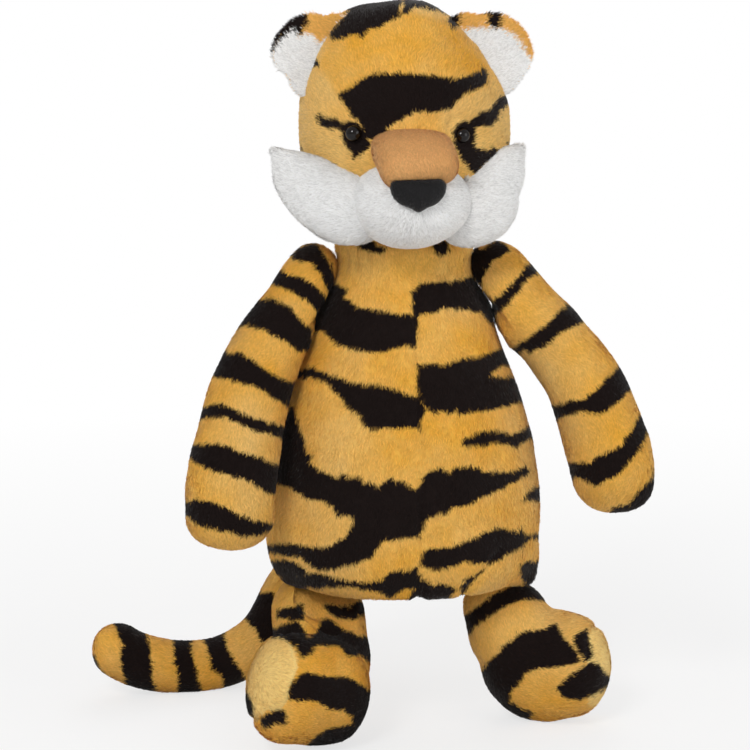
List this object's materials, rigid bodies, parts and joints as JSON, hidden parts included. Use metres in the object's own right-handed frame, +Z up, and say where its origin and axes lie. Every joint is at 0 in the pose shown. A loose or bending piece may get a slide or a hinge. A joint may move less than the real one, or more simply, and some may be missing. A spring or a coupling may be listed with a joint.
{
  "type": "plush tiger",
  "caption": "Stuffed toy tiger that stands on its two feet and the bend of its tail, with a head that turns and nods and limbs and tail that swing at their seams.",
  "frame": {"origin": "on the floor, at the middle of the toy's bounding box seen from above", "axes": "+Z up through the head; the face looks along -Y, so +X is the toy's own left side"},
  "size_m": [0.232, 0.1424, 0.303],
  "materials": {
    "gold_fur": "short golden-orange fur pile with irregular black-brown stripes",
    "white_fur": "short white fur pile",
    "tan_fur": "short tan fur pile",
    "black_velvet": "black velvet",
    "fibre_fill": "loose polyester fibre",
    "pellet_bag": "thin cloth bag filled with plastic beads",
    "seam_thread": "gathered fabric and thread",
    "eye_plastic": "polished black",
    "washer_plastic": "moulded white"
  },
  "bodies": {
    "torso": {"torso_cover": "gold_fur", "torso_stuffing": "fibre_fill", "pellet_pouch": "pellet_bag", "shoulder_patch_left": "seam_thread", "shoulder_patch_right": "seam_thread"},
    "neck": {"neck_seam": "seam_thread"},
    "head": {"head_cover": "gold_fur", "head_stuffing": "fibre_fill", "snout_bridge": "tan_fur", "muzzle": "white_fur", "nose": "black_velvet", "cheek_ruff_left": "white_fur", "cheek_ruff_right": "white_fur", "ear_lining_left": "white_fur", "ear_lining_right": "white_fur", "ear_back_left": "gold_fur", "ear_back_right": "gold_fur", "eye_left": "eye_plastic", "eye_right": "eye_plastic", "eye_washer_left": "washer_plastic", "eye_washer_right": "washer_plastic"},
    "arm_left": {"arm_cover_left": "gold_fur", "arm_stuffing_left": "fibre_fill"},
    "arm_right": {"arm_cover_right": "gold_fur", "arm_stuffing_right": "fibre_fill"},
    "leg_left": {"leg_cover_left": "gold_fur", "leg_stuffing_left": "fibre_fill"},
    "leg_right": {"leg_cover_right": "gold_fur", "leg_stuffing_right": "fibre_fill"},
    "tail": {"tail_cover": "gold_fur", "tail_stuffing": "fibre_fill"}
  },
  "joints": [
    {"name": "neck_turn", "type": "hinge", "parent": "torso", "child": "neck", "pos_m": [0.01369, -0.00709, 0.19], "axis": [0, 0, 1], "range_deg": [-25, 25]},
    {"name": "head_nod", "type": "hinge", "parent": "neck", "child": "head", "pos_m": [0.01369, -0.00709, 0.19], "axis": [1, 0, 0], "range_deg": [-10, 10]},
    {"name": "arm_swing_left", "type": "hinge", "parent": "torso", "child": "arm_left", "pos_m": [0.04225, -0.00809, 0.1874], "axis": [-0.809, 0, -0.5878], "range_deg": [-45, 45]},
    {"name": "arm_swing_right", "type": "hinge", "parent": "torso", "child": "arm_right", "pos_m": [-0.01486, -0.00809, 0.1874], "axis": [-0.809, 0, 0.5878], "range_deg": [-20, 50]},
    {"name": "leg_swing_left", "type": "hinge", "parent": "torso", "child": "leg_left", "pos_m": [0.05319, -0.00809, 0.048], "axis": [-1, 0, 0], "range_deg": [-40, 60]},
    {"name": "leg_swing_right", "type": "hinge", "parent": "torso", "child": "leg_right", "pos_m": [-0.02581, -0.00809, 0.048], "axis": [-1, 0, 0], "range_deg": [-40, 30]},
    {"name": "tail_swing", "type": "hinge", "parent": "torso", "child": "tail", "pos_m": [0.00769, 0.04207, 0.076], "axis": [0, 0, -1], "range_deg": [-15, 60]}
  ]
}
